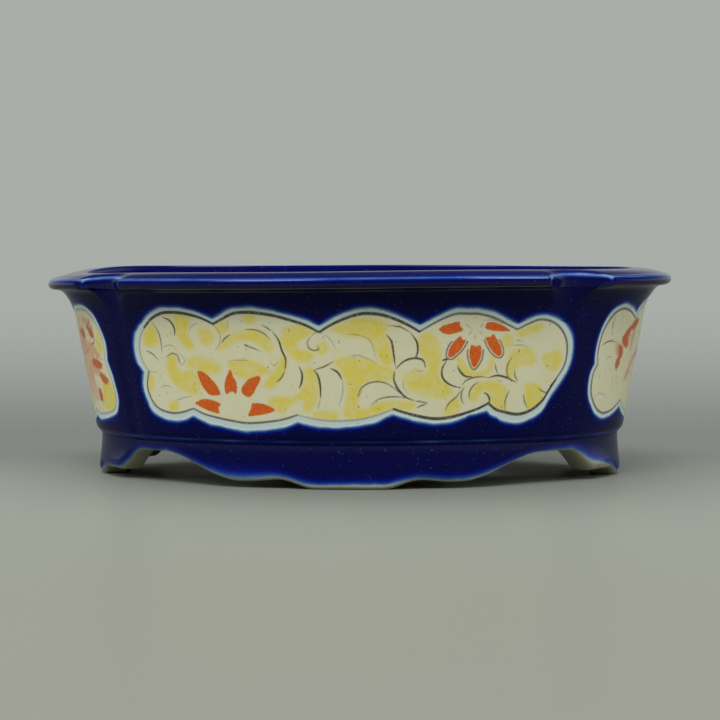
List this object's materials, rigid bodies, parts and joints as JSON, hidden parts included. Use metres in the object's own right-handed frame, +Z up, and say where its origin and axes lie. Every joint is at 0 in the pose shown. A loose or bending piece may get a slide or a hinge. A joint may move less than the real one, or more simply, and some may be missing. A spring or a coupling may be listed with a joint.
{
  "type": "oval bonsai pot",
  "caption": "Small oval bonsai pot with a flaring wall, a lip notched at the corners, white painted panels in blue glaze, and a foot band cut into low cloud-shaped feet.",
  "frame": {"origin": "on the ground under the middle of the pot", "axes": "+X along the pot's length, towards the end whose notches lie further from it; +Z up; the front faces -Y"},
  "size_m": [0.1396, 0.111, 0.0455],
  "materials": {
    "blue_glaze": "glossy cobalt blue glaze, thinning to pale blue at its edges, with white painted panels",
    "bare_clay": "bare fired cream clay, matt"
  },
  "bodies": {
    "root": {"body_wall": "blue_glaze", "front_lip": "blue_glaze", "right_lip": "blue_glaze", "back_lip": "blue_glaze", "left_lip": "blue_glaze", "front_foot": "blue_glaze", "right_foot": "blue_glaze", "back_foot": "blue_glaze", "left_foot": "blue_glaze", "floor_slab": "bare_clay", "inside_coil": "bare_clay"}
  },
  "joints": []
}
